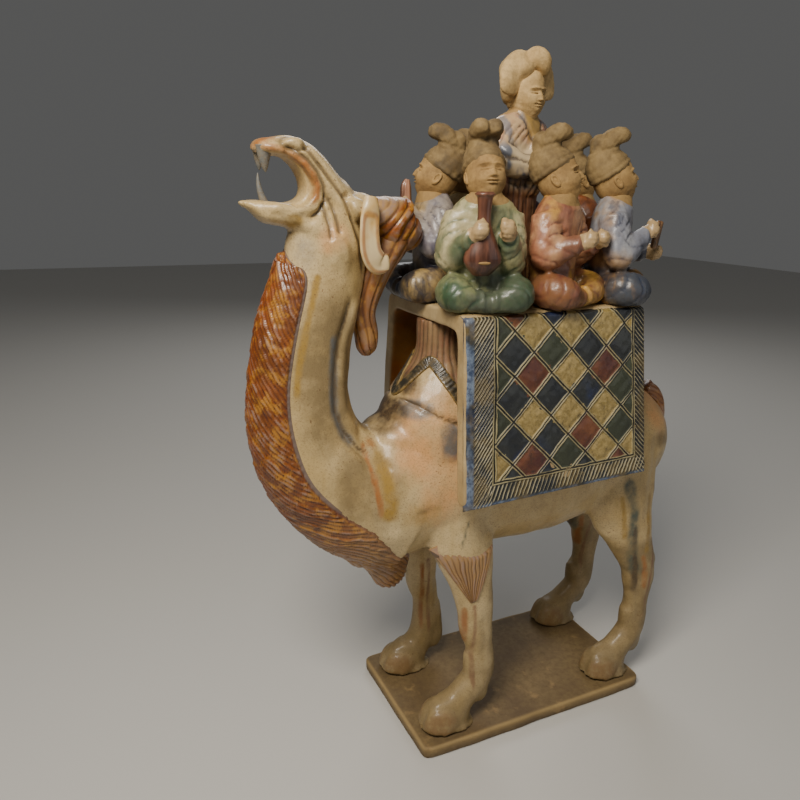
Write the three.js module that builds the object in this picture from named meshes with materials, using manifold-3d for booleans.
// Sancai camel figure: a glazed earthenware camel on a plinth. Its humps carry a platform
// hung with blankets, with seated musicians around a standing singer.
// Millimetres, +Z up. The origin is the centre of the plinth's underside, the camel looks
// along -X, and its left flank faces -Y.

import * as THREE from 'three';
import { mergeVertices } from 'three/addons/utils/BufferGeometryUtils.js';
import Module from 'manifold-3d';

// Driving dimensions

const PLINTH_THICKNESS = 11;
const PLINTH_END_MARGIN = 3;
const PLINTH_SIDE_MARGIN = 1.5;
const PLINTH_CORNER = 5;
const PLINTH_EDGE = 1.2;

// From the soles to the top of the raised head. The camel's shape is drawn for this height.
const CAMEL_HEIGHT = 496;
const CAMEL_DRAWN_HEIGHT = 496;
const CAMEL_SETBACK = 0;

const PLATFORM_LENGTH = 171;
const PLATFORM_WIDTH = 137;
const PLATFORM_THICKNESS = 13;
const PLATFORM_EDGE = 3;
const PLATFORM_CENTRE_X = -15;

const PANEL_DROP = 146;
const PANEL_THICKNESS = 14;
const PANEL_FLARE = 13;
const PANEL_REAR_SLANT = 11;
const PANEL_CLEARANCE = 0.4;

const BORDER_FRONT = 26;
const BORDER_REAR = 14.5;
const BORDER_BOTTOM = 19;
const LOZENGE_LENGTH = 35.4;
const LOZENGE_HEIGHT = 34;
const LOZENGE_START_X = -4.5;
const LOZENGE_START_DROP = 30.5;
const LATTICE_WIDTH = 2.6;
const LATTICE_DEPTH = 1.1;

const MUSICIAN_HEIGHT = 132;
const MUSICIAN_DRAWN_HEIGHT = 132;
const SINGER_HEIGHT = 193.5;
const SINGER_DRAWN_HEIGHT = 193.5;
// Figures stand this far above the platform and keep at least this far apart.
const FIGURE_GAP = 0.3;

// Colours

const CREAM_GLAZE = 0xcbb188;
const BUFF_CLAY = 0x8d7657;
const BLANKET_GLAZE = 0x5b6350;
const ROBE_GLAZES = {
  blue: 0x6c6a78, green: 0x7c8663, amber: 0xa4683f, grey: 0x7d7c86,
  brown: 0x7d4a36, plum: 0x79596a, cream: 0xc0a274, rose: 0xa97c68,
};

function glaze(colour) {
  return new THREE.MeshStandardMaterial({ color: colour, roughness: 0.28, metalness: 0 });
}

function clay(colour) {
  return new THREE.MeshStandardMaterial({ color: colour, roughness: 0.85, metalness: 0 });
}

// Solids

const wasm = await Module();
wasm.setup();

const X_AXIS = new THREE.Vector3(1, 0, 0);
const Y_AXIS = new THREE.Vector3(0, 1, 0);
const Z_AXIS = new THREE.Vector3(0, 0, 1);
const MERGE_DISTANCE = 1e-4;
const FAR = 1000;

function vector(x, y, z) {
  return new THREE.Vector3(x, y, z);
}

function solidFromArrays(positions, triangles) {
  return new wasm.Manifold(new wasm.Mesh({
    numProp: 3,
    vertProperties: new Float32Array(positions),
    triVerts: new Uint32Array(triangles),
  }));
}

function solidFromGeometry(geometry) {
  geometry.deleteAttribute('normal');
  geometry.deleteAttribute('uv');
  const merged = mergeVertices(geometry, MERGE_DISTANCE);
  return solidFromArrays(merged.attributes.position.array, merged.index.array);
}

function geometryFromSolid(solid) {
  const mesh = solid.getMesh();
  const geometry = new THREE.BufferGeometry();
  geometry.setAttribute('position', new THREE.BufferAttribute(mesh.vertProperties, 3));
  geometry.setIndex(new THREE.BufferAttribute(mesh.triVerts, 1));
  geometry.computeVertexNormals();
  return geometry;
}

function join(solids) {
  return solids.reduce((sum, solid) => sum.add(solid));
}

function cut(solid, tools) {
  return tools.reduce((rest, tool) => rest.subtract(tool), solid);
}

function box(low, high) {
  const size = high.clone().sub(low);
  const geometry = new THREE.BoxGeometry(size.x, size.y, size.z);
  geometry.translate(low.x + size.x / 2, low.y + size.y / 2, low.z + size.z / 2);
  return solidFromGeometry(geometry);
}

// Joined parts that close around a space keep only their outer skin.
function outerBody(solid) {
  return solid.decompose().reduce((a, b) => (b.volume() > a.volume() ? b : a));
}

// Everything below the height is cut away, which leaves a flat sole or seat.
function standOn(solid, height) {
  return solid.subtract(box(vector(-FAR, -FAR, height - FAR), vector(FAR, FAR, height)));
}

function mirrored(solid) {
  return solid.mirror([0, 1, 0]);
}

function bothSides(solid) {
  return solid.add(mirrored(solid));
}

// Lofts. A ring is [x, y, z, half size across, half size in depth]. Its plane is square to
// the path through the ring centres, "across" is the direction given, and depth is the
// direction square to both.

function catmullRom(a, b, c, d, t) {
  return 0.5 * (2 * b + (c - a) * t + (2 * a - 5 * b + 4 * c - d) * t * t
    + (3 * b - a - 3 * c + d) * t * t * t);
}

function ringAt(rings, place) {
  const last = rings.length - 1;
  const first = Math.min(Math.floor(place), last - 1);
  const pick = (index) => rings[Math.min(Math.max(index, 0), last)];
  const [a, b, c, d] = [pick(first - 1), pick(first), pick(first + 1), pick(first + 2)];
  return b.map((value, k) => catmullRom(a[k], value, c[k], d[k], place - first));
}

function frameAt(rings, place, across) {
  const last = rings.length - 1;
  const before = ringAt(rings, Math.max(place - 0.05, 0));
  const after = ringAt(rings, Math.min(place + 0.05, last));
  const along = vector(after[0] - before[0], after[1] - before[1], after[2] - before[2]).normalize();
  const side = across.clone().addScaledVector(along, -across.dot(along)).normalize();
  return { along, side, depth: along.clone().cross(side) };
}

// A point on the loft's skin. Angle 0 looks along "across", a quarter turn looks along depth.
function skinPoint(rings, place, angle, across, lift = 0) {
  const ring = ringAt(rings, place);
  const { side, depth } = frameAt(rings, place, across);
  return vector(ring[0], ring[1], ring[2])
    .addScaledVector(side, (ring[3] + lift) * Math.cos(angle))
    .addScaledVector(depth, (ring[4] + lift) * Math.sin(angle));
}

// Flutes press every other side in by their depth, which gives a skirt its folds.
function loft(rings, { sides = 10, across = Y_AXIS, flutes = 0 } = {}) {
  const rows = rings.length - 1;
  const positions = [];
  const triangles = [];
  for (let row = 0; row <= rows; row += 1) {
    for (let k = 0; k < sides; k += 1) {
      const angle = (2 * Math.PI * (k + 0.5)) / sides;
      const lift = k % 2 ? -flutes : 0;
      positions.push(...skinPoint(rings, row, angle, across, lift).toArray());
    }
  }
  for (let row = 0; row < rows; row += 1) {
    for (let k = 0; k < sides; k += 1) {
      const a = row * sides + k;
      const b = row * sides + ((k + 1) % sides);
      triangles.push(a, b, b + sides, a, b + sides, a + sides);
    }
  }
  const start = positions.length / 3;
  const end = start + 1;
  positions.push(...rings[0].slice(0, 3), ...rings[rings.length - 1].slice(0, 3));
  for (let k = 0; k < sides; k += 1) {
    const next = (k + 1) % sides;
    triangles.push(start, next, k);
    triangles.push(end, rows * sides + k, rows * sides + next);
  }
  return solidFromArrays(positions, triangles);
}

function ball(centre, half, { across = 8, up = 6 } = {}) {
  const geometry = new THREE.SphereGeometry(1, across, up);
  geometry.rotateX(Math.PI / 2);
  geometry.scale(half[0], half[1], half[2]);
  geometry.translate(centre[0], centre[1], centre[2]);
  return solidFromGeometry(geometry);
}

// A V-shaped cut from a to b into a face with the outward normal given.
function groove(a, b, normal, width, depth) {
  const lift = depth;
  const along = b.clone().sub(a).normalize();
  const side = along.clone().cross(normal).normalize();
  const half = (width / 2) * ((depth + lift) / depth);
  const positions = [a, b].flatMap((end) => [
    end.clone().addScaledVector(normal, -depth),
    end.clone().addScaledVector(normal, lift).addScaledVector(side, half),
    end.clone().addScaledVector(normal, lift).addScaledVector(side, -half),
  ]).flatMap((point) => point.toArray());
  const triangles = [0, 1, 2, 3, 5, 4, 0, 4, 1, 0, 3, 4, 1, 5, 2, 1, 4, 5, 2, 3, 0, 2, 5, 3];
  return solidFromArrays(positions, triangles);
}

// A closed profile of [y, z] points, drawn from x = low(z) to x = high(z).
function prismAlongX(profile, low, high) {
  const count = profile.length;
  const positions = [];
  for (const edge of [low, high]) {
    for (const [y, z] of profile) {
      positions.push(edge(z), y, z);
    }
  }
  const outline = profile.map(([y, z]) => new THREE.Vector2(y, z));
  const triangles = [];
  for (const [a, b, c] of THREE.ShapeUtils.triangulateShape(outline, [])) {
    triangles.push(a, c, b, a + count, b + count, c + count);
  }
  for (let k = 0; k < count; k += 1) {
    const next = (k + 1) % count;
    triangles.push(k, next, next + count, k, next + count, k + count);
  }
  return solidFromArrays(positions, triangles);
}

// Plinth

function plinthSolid() {
  const outline = new THREE.Shape();
  const x = STANCE_REACH * CAMEL_SCALE + PLINTH_END_MARGIN - PLINTH_EDGE;
  const y = STANCE_HALF_WIDTH * CAMEL_SCALE + PLINTH_SIDE_MARGIN - PLINTH_EDGE;
  const r = PLINTH_CORNER;
  outline.moveTo(x, -y + r);
  outline.absarc(x - r, y - r, r, 0, Math.PI / 2);
  outline.absarc(-x + r, y - r, r, Math.PI / 2, Math.PI);
  outline.absarc(-x + r, -y + r, r, Math.PI, 1.5 * Math.PI);
  outline.absarc(x - r, -y + r, r, 1.5 * Math.PI, 2 * Math.PI);
  const geometry = new THREE.ExtrudeGeometry(outline, {
    depth: PLINTH_THICKNESS - 2 * PLINTH_EDGE,
    bevelEnabled: true,
    bevelThickness: PLINTH_EDGE,
    bevelSize: PLINTH_EDGE,
    bevelSegments: 1,
    curveSegments: 2,
  });
  geometry.translate(0, 0, PLINTH_EDGE);
  return solidFromGeometry(geometry);
}

// Camel. Its points are millimetres on a camel of the drawn height, from the plinth's top
// centre, and are scaled to the real height.

const CAMEL_SCALE = CAMEL_HEIGHT / CAMEL_DRAWN_HEIGHT;
const HUMP_TOP = 362.5;

const TRUNK = [
  [-172, 0, 226, 26, 28],
  [-148, 0, 217, 44, 59],
  [-100, 0, 213, 54, 72],
  [-45, 0, 214, 57, 72],
  [15, 0, 219, 57, 66],
  [75, 0, 227, 55, 62],
  [120, 0, 234, 48, 58],
  [148, 0, 240, 36, 45],
  [164, 0, 245, 20, 25],
];

const NECK = [
  [-120, 0, 211, 50, 64],
  [-154, 0, 221, 45, 57],
  [-181, 0, 242, 38, 48],
  [-198, 0, 271, 32, 42],
  [-204, 0, 307, 28, 37.5],
  [-201, 0, 340, 26, 36],
  [-193, 0, 374, 25, 34.5],
  [-185, 0, 404, 24, 31.5],
  [-181, 0, 428, 23, 29],
  [-179, 0, 446, 20, 20],
];

const SKULL = [
  [-134, 0, 430, 12, 10],
  [-153, 0, 440, 19, 13.5],
  [-172, 0, 452, 21, 16],
  [-188, 0, 468, 18.5, 15],
  [-200, 0, 481, 16, 12.5],
  [-214, 0, 488, 13, 9],
  [-226, 0, 488.5, 10.5, 7.5],
  [-233, 0, 488, 8, 5],
];

const CHEEK = { middle: [-182, 0, 455], half: [18.5, 18, 22] };

const JAW = [
  [-180, 0, 443, 18, 18],
  [-198, 0, 442.5, 17.5, 12],
  [-214, 0, 443.5, 14.5, 8],
  [-229, 0, 446.5, 11.5, 7],
  [-245, 0, 452.5, 6, 2.5],
];

// Rings of a leg go from the body down, with y measured outward from the middle.
const FORELEG = [
  [-84, 30, 218, 22, 36],
  [-79, 39, 178, 18, 29],
  [-74, 43, 146, 14.5, 21.5],
  [-71, 44.5, 118, 13.5, 17],
  [-70, 45, 96, 12.5, 15.5],
  [-66, 45, 74, 10.5, 12.5],
  [-67, 45, 46, 11, 13],
];

const HIND_LEG = [
  [100, 30, 226, 22, 42],
  [97, 38, 186, 21, 38],
  [108, 42, 152, 17, 26],
  [122, 44.5, 118, 13.5, 18],
  [127, 45, 98, 12.5, 17.5],
  [127, 45, 74, 11, 13.5],
  [125, 45, 44, 11.5, 13.5],
];

// Rings of a foot go from the ankle down to the sole, measured from the foot's own middle.
const FOOT = [
  [17, 0, 27, 13.5, 16],
  [9, 0, 18, 17, 22],
  [1, 0, 9, 19, 26.5],
  [0, 0, -3, 19.5, 28],
];

// Where each leg stands: its own shift along the body, and the middle of its foot.
const STANCES = [
  { leg: FORELEG, shift: 5, x: -91, y: -48, side: -1 },
  { leg: FORELEG, shift: -4, x: -91, y: 40, side: 1 },
  { leg: HIND_LEG, shift: -3, x: 90, y: -48, side: -1 },
  { leg: HIND_LEG, shift: 8, x: 97, y: 46, side: 1 },
];
const STANCE_REACH = 117;
const STANCE_HALF_WIDTH = 66;

const HUMP = [
  [0, 0, 255, 49, 58],
  [0, 0, 284, 45, 52],
  [0, 0, 309, 37, 37],
  [0, 0, 334, 23, 21],
  [0, 0, HUMP_TOP + 8, 20, 20],
];
const FRONT_HUMP_X = -83;
const REAR_HUMP_X = 46;

// The rim of the saddle pad crosses the front of the front hump, highest in the middle. Its
// places are on the hump's loft.
const PAD_RIM = { high: 2.7, low: 0.4, spread: 1.85, lift: 2, wide: 4.5, deep: 4.5, spans: 8 };

const POLL_TUFT = [
  [-151, 0, 441, 14, 9],
  [-142, 0, 444, 18, 15],
  [-127, 0, 438, 20, 21],
  [-113, 0, 432, 15, 17],
  [-106, 0, 433, 6, 8],
];

const NAPE_LOCK = [
  [-128, 0, 428, 16, 15],
  [-143, 0, 401, 14, 11],
  [-153, 0, 373, 11, 9.5],
  [-152, 0, 352, 8.5, 8.5],
  [-153, 0, 339, 4, 4],
];

const EAR = [
  [-157, 19, 452, 3, 4],
  [-152, 26, 436, 4, 7.5],
  [-150, 27, 418, 4.5, 8],
  [-150, 25, 405, 3, 4.5],
];

const BREAST_TUFT = [
  [-186, 0, 212, 30, 18],
  [-164, 0, 184, 24, 19],
  [-146, 0, 158, 15, 16],
  [-133, 0, 138, 8, 8],
  [-129, 0, 126, 2, 2],
];

const ELBOW_TUFT = [
  [-84, 44, 192, 10, 18],
  [-79, 48, 164, 12, 22],
  [-74, 51, 136, 9, 13],
  [-70, 52, 108, 3, 4],
];

const TAIL = [
  [150, 0, 280, 7, 8],
  [165, 0, 268, 6.5, 7],
  [172, 0, 250, 6, 6.5],
  [170, 0, 232, 6, 7],
  [163, 0, 218, 2, 2.5],
];

// The mane runs up the front of the neck between two places on its loft. Its locks are
// ridges that slant down from the middle to the sides.
const MANE = {
  from: 2, to: 7.6, slant: 0.9, spread: 1.12, lift: 3, ridge: 1.5, sides: 5, locks: 8,
};

function shifted(rings, x, y = 0, z = 0) {
  return rings.map((ring) => [ring[0] + x, ring[1] + y, ring[2] + z, ...ring.slice(3)]);
}

// A leg runs from the body over its own shift to its foot, with a cleft between two toes.
function legSolid({ leg, shift, x, y, side }) {
  const last = leg[leg.length - 1];
  const rings = leg.map(([planX, planY, z, wide, deep], k) => {
    const share = Math.min(k / 3, 1);
    const lean = (y - side * last[1]) * share;
    return [planX + shift * share, side * planY + lean, z, wide, deep];
  });
  const toeRoot = vector(x - 6, y, 19);
  const toeTip = vector(x - 36, y, 3);
  const cleft = groove(toeRoot, toeTip, vector(-0.47, 0, 0.88), 7, 5);
  return cut(loft([...rings, ...shifted(FOOT, x, y)], { sides: 8 }), [cleft]);
}

function spike(from, to, radius, sides) {
  return loft([[...from, radius, radius], [...to, 0.6, 0.6]], { sides });
}

// The flesh at the corner of the jaw, and one tooth of each pair.
const JAW_CORNER = { middle: [-165, 17, 446], half: [6, 6, 6] };
const UPPER_TOOTH = { root: [-222, 6, 483], tip: [-225, 6, 471], radius: 3.5 };
const LOWER_TOOTH = { root: [-225, 5, 449], tip: [-231, 5, 470], radius: 2.5 };

function headSolid() {
  const parts = [
    loft(SKULL, { sides: 8 }),
    ball(CHEEK.middle, CHEEK.half, { across: 6, up: 5 }),
    loft(JAW, { sides: 6 }),
    loft(POLL_TUFT, { sides: 6 }),
    loft(NAPE_LOCK, { sides: 6 }),
  ];
  const pairs = [
    ball(JAW_CORNER.middle, JAW_CORNER.half, { across: 5, up: 4 }),
    loft(EAR, { sides: 4 }),
    spike(UPPER_TOOTH.root, UPPER_TOOTH.tip, UPPER_TOOTH.radius, 4),
    spike(LOWER_TOOTH.root, LOWER_TOOTH.tip, LOWER_TOOTH.radius, 4),
  ];
  return join([...parts, ...pairs.map(bothSides)]);
}

// The mane is a sector of the neck's skin, raised and closed along the neck's centre line.
function maneBand() {
  const { from, to, slant, spread, lift, ridge, sides, locks } = MANE;
  const positions = [];
  const triangles = [];
  const rows = 2 * locks;
  const perRow = sides + 1;
  for (let row = 0; row <= rows; row += 1) {
    const along = from + ((to - from - slant) * row) / rows;
    const height = lift + (row % 2 ? ridge : -ridge);
    for (let k = 0; k < sides; k += 1) {
      const share = (2 * k) / (sides - 1) - 1;
      const place = along + slant * (1 - Math.abs(share));
      const angle = Math.PI / 2 + spread * share;
      positions.push(...skinPoint(NECK, place, angle, Y_AXIS, height).toArray());
    }
    positions.push(...ringAt(NECK, along).slice(0, 3));
  }
  for (let row = 0; row < rows; row += 1) {
    for (let k = 0; k < perRow; k += 1) {
      const a = row * perRow + k;
      const b = row * perRow + ((k + 1) % perRow);
      triangles.push(a, b, b + perRow, a, b + perRow, a + perRow);
    }
  }
  for (let k = 1; k < sides; k += 1) {
    triangles.push(sides, k, k - 1);
    triangles.push(rows * perRow + sides, rows * perRow + k - 1, rows * perRow + k);
  }
  return solidFromArrays(positions, triangles);
}

function padRim() {
  const { high, low, spread, lift, wide, deep, spans } = PAD_RIM;
  const rings = [];
  for (let k = 0; k <= spans; k += 1) {
    const share = (2 * k) / spans - 1;
    const place = high + (low - high) * Math.abs(share) ** 3;
    const angle = Math.PI / 2 + spread * share;
    const point = skinPoint(shifted(HUMP, FRONT_HUMP_X), place, angle, Y_AXIS, lift);
    rings.push([...point.toArray(), wide, deep]);
  }
  return loft(rings, { sides: 4, across: Z_AXIS });
}

function camelSolid(obstacles) {
  const body = join([
    loft(TRUNK, { sides: 12 }),
    loft(NECK, { sides: 10 }),
    maneBand(),
    loft(shifted(HUMP, FRONT_HUMP_X), { sides: 10 }),
    loft(shifted(HUMP, REAR_HUMP_X), { sides: 8 }),
    padRim(),
    loft(BREAST_TUFT, { sides: 6 }),
    bothSides(loft(ELBOW_TUFT, { sides: 6 })),
    loft(TAIL, { sides: 6 }),
    headSolid(),
    ...STANCES.map(legSolid),
  ]);
  const aboveHumps = box(
    vector(FRONT_HUMP_X - 40, -FAR, HUMP_TOP),
    vector(FAR, FAR, HUMP_TOP + FAR),
  );
  const trimmed = standOn(body, 0).subtract(aboveHumps);
  return outerBody(cut(trimmed.scale(CAMEL_SCALE), obstacles));
}

// Platform

const PLATFORM_UNDERSIDE = PLINTH_THICKNESS + HUMP_TOP * CAMEL_SCALE;
const PLATFORM_TOP = PLATFORM_UNDERSIDE + PLATFORM_THICKNESS;
const PLATFORM_FRONT = PLATFORM_CENTRE_X - PLATFORM_LENGTH / 2;
const PLATFORM_REAR = PLATFORM_CENTRE_X + PLATFORM_LENGTH / 2;
const PANEL_BOTTOM = PLATFORM_TOP - PANEL_DROP;

function panelOuterY(z) {
  return PLATFORM_WIDTH / 2 + (PANEL_FLARE * (PLATFORM_TOP - z)) / PANEL_DROP;
}

function panelRearX(z) {
  return PLATFORM_REAR + (PANEL_REAR_SLANT * (PLATFORM_TOP - z)) / PANEL_DROP;
}

// One half of the section from the middle of the top to the middle of the underside, with
// the panels grown by "extra" on all their faces.
function platformHalfProfile(extra) {
  const inner = (z) => panelOuterY(z) - PANEL_THICKNESS - extra;
  return [
    [PLATFORM_WIDTH / 2 - PLATFORM_EDGE, PLATFORM_TOP + extra],
    [panelOuterY(PLATFORM_TOP - PLATFORM_EDGE) + extra, PLATFORM_TOP - PLATFORM_EDGE],
    [panelOuterY(PANEL_BOTTOM) + extra, PANEL_BOTTOM - extra],
    [inner(PANEL_BOTTOM), PANEL_BOTTOM - extra],
    [inner(PLATFORM_UNDERSIDE), PLATFORM_UNDERSIDE],
  ];
}

function platformBody(extra = 0) {
  const half = platformHalfProfile(extra);
  const profile = [...half.map(([y, z]) => [-y, z]), ...half.reverse()];
  return prismAlongX(
    profile,
    () => PLATFORM_FRONT - extra,
    (z) => panelRearX(z) + extra,
  );
}

const PANEL_FACE_LENGTH = Math.hypot(PANEL_FLARE, PANEL_DROP);
const PANEL_NORMAL = vector(0, -PANEL_DROP / PANEL_FACE_LENGTH, PANEL_FLARE / PANEL_FACE_LENGTH);

function panelPoint(x, drop) {
  const z = PLATFORM_TOP - drop;
  return vector(x, -panelOuterY(z), z);
}

function panelGroove(from, to, width, depth) {
  return groove(panelPoint(...from), panelPoint(...to), PANEL_NORMAL, width, depth);
}

const FIELD_LEFT = PLATFORM_FRONT + BORDER_FRONT;
const FIELD_BOTTOM = PANEL_DROP - BORDER_BOTTOM;

function fieldRight(drop) {
  return panelRearX(PLATFORM_TOP - drop) - BORDER_REAR;
}

// Where the line x = start + slope * drop lies inside the field, or null.
function clippedToField(start, slope) {
  const drops = [PLATFORM_EDGE + 1, FIELD_BOTTOM];
  const inside = (drop) => {
    const x = start + slope * drop;
    return x >= FIELD_LEFT && x <= fieldRight(drop);
  };
  const samples = [];
  const count = 200;
  for (let k = 0; k <= count; k += 1) {
    const drop = drops[0] + ((drops[1] - drops[0]) * k) / count;
    if (inside(drop)) {
      samples.push(drop);
    }
  }
  if (samples.length < 10) {
    return null;
  }
  return [samples[0], samples[samples.length - 1]].map((drop) => [start + slope * drop, drop]);
}

function latticeGrooves() {
  const grooves = [];
  const slope = LOZENGE_LENGTH / LOZENGE_HEIGHT;
  for (const sign of [-1, 1]) {
    const anchor = LOZENGE_START_X - sign * slope * LOZENGE_START_DROP;
    for (let k = -9; k <= 9; k += 1) {
      const ends = clippedToField(anchor + k * LOZENGE_LENGTH, sign * slope);
      if (ends) {
        grooves.push(panelGroove(ends[0], ends[1], LATTICE_WIDTH, LATTICE_DEPTH));
      }
    }
  }
  const frameTop = PLATFORM_EDGE + 1;
  const bottomRight = [fieldRight(FIELD_BOTTOM), FIELD_BOTTOM];
  const bottomLeft = [FIELD_LEFT, FIELD_BOTTOM];
  grooves.push(panelGroove([FIELD_LEFT, frameTop], bottomLeft, LATTICE_WIDTH, LATTICE_DEPTH));
  grooves.push(panelGroove(bottomLeft, bottomRight, LATTICE_WIDTH, LATTICE_DEPTH));
  grooves.push(panelGroove(bottomRight, [fieldRight(frameTop), frameTop], LATTICE_WIDTH, LATTICE_DEPTH));
  return grooves;
}

function platformSolid() {
  const near = join(latticeGrooves());
  return cut(platformBody(), [near, mirrored(near)]);
}

// Musicians. Their points are millimetres on a seated figure of the drawn height, which
// faces -Y, from the middle of its seat, and are scaled to the real height.

const MUSICIAN_SCALE = MUSICIAN_HEIGHT / MUSICIAN_DRAWN_HEIGHT;

// From the seat over the shoulders, neck and face to the crown of the cap.
const FIGURE = [
  [0, 4, 0, 22, 17],
  [0, 4, 24, 22, 17],
  [0, 3, 50, 25, 17],
  [0, 2, 65, 26.5, 16],
  [0, 1, 75, 19, 12],
  [0, 0, 80, 9, 9.5],
  [0, -1, 86, 13.5, 14.5],
  [0, -1, 97, 16, 18],
  [0, 1, 109, 16, 18.5],
  [0, 1, 119, 11.5, 12.5],
  [0, -1, 127, 7, 8],
];

// Half of the crossed legs, from the hip over the knee to the ankles in front.
const LEG = [
  [8, 8, 12, 12, 10],
  [21, -6, 13, 14, 14],
  [18, -22, 11, 12, 11],
  [0, -27, 9, 9, 8],
];

const LOBE = { middle: [5, -7, 127.5], half: [6.5, 13, 8] };
const SHOULDER = [19, 3, 66];
const ARM_RADII = [10, 12.5, 11.5, 9.5, 7, 3.5];

function armSolid(side, elbow, hand) {
  const between = (a, b, share) => a.map((value, k) => value + (b[k] - value) * share);
  const points = [
    SHOULDER,
    between(SHOULDER, elbow, 0.5),
    elbow,
    between(elbow, hand, 0.55),
    hand,
    between(elbow, hand, 1.22),
  ];
  const rings = points.map(([x, y, z], k) => [side * x, y, z, ARM_RADII[k], ARM_RADII[k]]);
  return loft(rings, { sides: 5, across: vector(side * 0.8, -0.6, 0) });
}

function bothFaces(solid) {
  return solid.add(solid.mirror([1, 0, 0]));
}

function crossedLegs() {
  const otherHalf = LEG.slice(0, -1).reverse().map(([x, ...rest]) => [-x, ...rest]);
  return loft([...LEG, ...otherHalf], { sides: 6, across: Z_AXIS });
}

// The cap's two lobes lean forward over the face, and turn with it.
function musicianSolid({ turn, left, right, instrument }) {
  const lobes = bothFaces(ball(LOBE.middle, LOBE.half, { across: 5, up: 4 }));
  const body = join([
    loft(FIGURE, { sides: 8, across: X_AXIS }),
    crossedLegs(),
    armSolid(1, left.elbow, left.hand),
    armSolid(-1, right.elbow, right.hand),
    lobes.rotate([0, 0, turn]),
    ...instrument,
  ]);
  return outerBody(standOn(body, 0)).scale(MUSICIAN_SCALE);
}

// Instruments, in the same measure as the figures.

function tube(from, to, radius, sides = 6) {
  const ring = (point) => [...point, radius, radius];
  const across = Math.abs(from[2] - to[2]) > 15 ? Y_AXIS : Z_AXIS;
  return loft([ring(from), ring(to)], { sides, across });
}

function lute() {
  const rings = [
    [0, -20, 28, 8, 5],
    [0, -22, 38, 15, 8],
    [0, -22, 50, 11, 7],
    [0, -20, 66, 5, 4.5],
    [0, -18, 84, 5.5, 4.5],
  ];
  return [loft(rings, { sides: 8, across: X_AXIS })];
}

function mouthOrgan() {
  return [loft([
    [0, -20, 66, 3, 3],
    [0, -21, 73, 6, 5.5],
    [0, -24, 84, 4, 4],
    [0, -28, 104, 2.5, 2.5],
  ], { sides: 6, across: X_AXIS })];
}

function clappers() {
  return [tube([4, -33, 44], [-2, -35, 66], 3, 4)];
}

function drum() {
  const rings = [[-15, -26, 36, 10, 10], [0, -26, 36, 12.5, 12.5], [15, -26, 36, 10, 10]];
  return [loft(rings, { sides: 8, across: Z_AXIS })];
}

function pipe() {
  return [tube([0, -17, 89], [0, -36, 56], 2.6, 4)];
}

function harp() {
  return [loft([
    [-14, -30, 26, 2.6, 2.6],
    [8, -28, 50, 3, 3],
    [14, -26, 68, 3, 3],
    [12, -25, 94, 2, 2],
  ], { sides: 4 })];
}

const ARMS = {
  folded: { elbow: [25, -3, 41], hand: [7, -27, 54] },
  low: { elbow: [25, -3, 40], hand: [12, -30, 52] },
  lower: { elbow: [22, -5, 40], hand: [15, -34, 40] },
  raised: { elbow: [25, -6, 45], hand: [6, -24, 72] },
  wide: { elbow: [25, -3, 40], hand: [21, -27, 49] },
  tucked: { elbow: [19, -6, 42], hand: [8, -28, 52] },
  forward: { elbow: [20, -12, 46], hand: [9, -32, 64] },
};

// Each seat is a bearing around the singer, in degrees from -Y towards +X, and a reach past
// the singer's skirt as a share of the musicians' height.
const MUSICIANS = {
  musician_mouth_organ: {
    bearing: -107, reach: 0.4, facing: -97, colour: ROBE_GLAZES.blue,
    turn: -24, left: ARMS.raised, right: ARMS.raised, instrument: mouthOrgan(),
  },
  musician_lute: {
    bearing: -54, reach: 0.385, facing: -18, colour: ROBE_GLAZES.green,
    turn: 6, left: ARMS.wide, right: ARMS.folded, instrument: lute(),
  },
  musician_flute: {
    bearing: 15.5, reach: 0.18, facing: 25, colour: ROBE_GLAZES.amber,
    turn: 22, left: ARMS.low, right: ARMS.low, instrument: [],
  },
  musician_clappers: {
    bearing: 60, reach: 0.45, facing: 52, colour: ROBE_GLAZES.grey,
    turn: 14, left: ARMS.lower, right: ARMS.folded, instrument: clappers(),
  },
  musician_drum: {
    bearing: 106, reach: 0.49, facing: 88, colour: ROBE_GLAZES.brown,
    turn: -4, left: ARMS.tucked, right: ARMS.forward, instrument: drum(),
  },
  musician_pipe: {
    bearing: 149, reach: 0.32, facing: 148, colour: ROBE_GLAZES.plum,
    turn: 0, left: ARMS.tucked, right: ARMS.tucked, instrument: pipe(),
  },
  musician_harp: {
    bearing: -155, reach: 0.3, facing: 208, colour: ROBE_GLAZES.cream,
    turn: 10, left: ARMS.tucked, right: ARMS.tucked, instrument: harp(),
  },
};

// Singer, standing, facing -Y before it is turned.

const SINGER_SCALE = SINGER_HEIGHT / SINGER_DRAWN_HEIGHT;
const SINGER_FACING = 20;
const SINGER_PLACE = [3, 6];
const SINGER_SKIRT = 20;

const SKIRT = [
  [0, 0, -2, SINGER_SKIRT, 17],
  [0, 0, 8, 19.5, 16.5],
  [0, 0, 50, 17.5, 14],
  [0, 0, 96, 19, 14],
];

const BUST = [
  [0, 0, 84, 18, 13.5],
  [0, 1, 112, 24, 14],
  [0, 2, 130, 27, 14],
  [0, 1, 138, 18, 11],
  [0, 0, 144, 9, 8.5],
  [0, 0, 154, 8, 8],
];

const SLEEVE = [
  [22, 3, 126, 11, 10],
  [27, -5, 112, 12, 11],
  [17, -16, 106, 10, 9.5],
  [3, -20, 112, 8, 8],
];

const CUFFS = [
  [0, -19, 129, 7, 5],
  [0, -20, 114, 11, 7],
  [0, -17, 98, 10, 7],
  [0, -14, 84, 5, 4],
];

// The singer looks past the lute player, a few degrees round from the singer's own front.
const SINGER_HEAD_TURN = 22;

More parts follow.
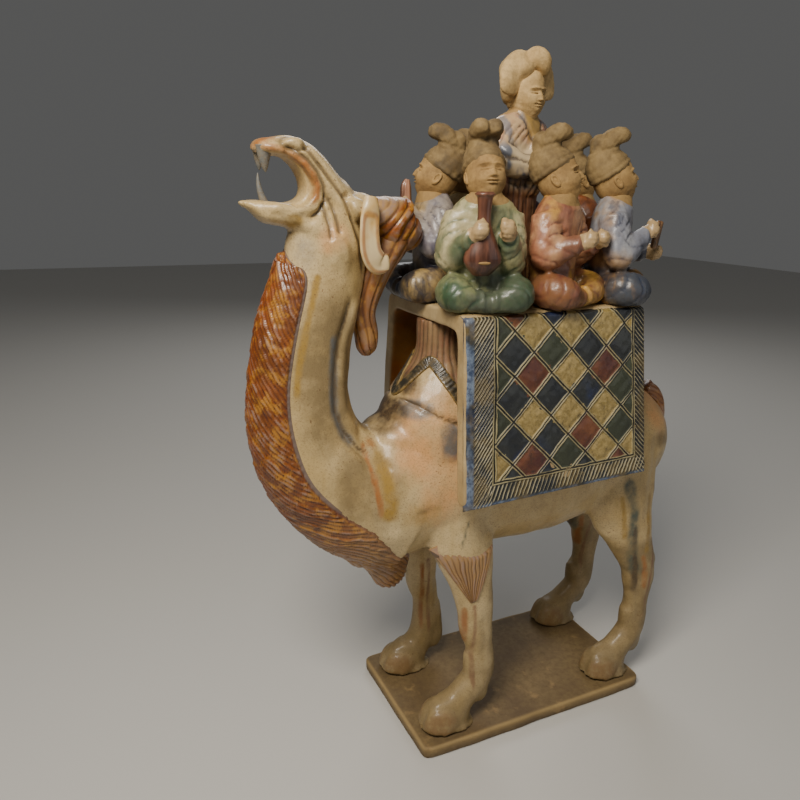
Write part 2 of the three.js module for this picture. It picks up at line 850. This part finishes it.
function singerHead(turn) {
  const parts = [
    ball([0, -3, 160], [14.5, 15, 16.5], { across: 7, up: 5 }),
    ball([1, 3, 171], [24, 18, 20], { across: 8, up: 5 }),
    bothFaces(ball([20, -6, 165], [7, 10, 13], { across: 5, up: 4 })),
    ball([1, -9, 181], [10, 13, 12.5], { across: 6, up: 5 }),
  ];
  return join(parts).rotate([0, 0, turn]);
}

function singerSolid() {
  const body = join([
    loft(SKIRT, { sides: 14, across: X_AXIS, flutes: 2 }),
    loft(BUST, { sides: 8, across: X_AXIS }),
    bothFaces(loft(SLEEVE, { sides: 5, across: Z_AXIS })),
    loft(CUFFS, { sides: 6, across: X_AXIS }),
    singerHead(SINGER_HEAD_TURN),
  ]);
  return outerBody(standOn(body, 0)).scale(SINGER_SCALE);
}

// Assembly

const object = new THREE.Group();

function addPiece(name, solid, material, parent = object) {
  const mesh = new THREE.Mesh(geometryFromSolid(solid), material);
  mesh.name = name;
  parent.add(mesh);
  return mesh;
}

const clearance = platformBody(PANEL_CLEARANCE).translate([-CAMEL_SETBACK, 0, -PLINTH_THICKNESS]);
const underside = box(
  vector(-FAR, -FAR, 0),
  vector(FAR, FAR, PLATFORM_UNDERSIDE - PLINTH_THICKNESS),
);
const panelsOnly = clearance.intersect(underside);

addPiece('plinth', plinthSolid(), clay(BUFF_CLAY));

const camel = addPiece('camel', camelSolid([panelsOnly]), glaze(CREAM_GLAZE));
camel.position.set(CAMEL_SETBACK, 0, PLINTH_THICKNESS);

addPiece('platform', platformSolid(), glaze(BLANKET_GLAZE));

const company = new THREE.Group();
company.position.set(PLATFORM_CENTRE_X, 0, PLATFORM_TOP + FIGURE_GAP);
object.add(company);

for (const [name, figure] of Object.entries(MUSICIANS)) {
  const distance = SINGER_SKIRT * SINGER_SCALE + figure.reach * MUSICIAN_HEIGHT;
  const bearing = THREE.MathUtils.degToRad(figure.bearing);
  const musician = addPiece(name, musicianSolid(figure), glaze(figure.colour), company);
  musician.position.set(distance * Math.sin(bearing), -distance * Math.cos(bearing), 0);
  musician.rotation.z = THREE.MathUtils.degToRad(figure.facing);
}

const singer = addPiece('singer', singerSolid(), glaze(ROBE_GLAZES.rose), company);
singer.position.set(...SINGER_PLACE, 0);
singer.rotation.z = THREE.MathUtils.degToRad(SINGER_FACING);

export default object;
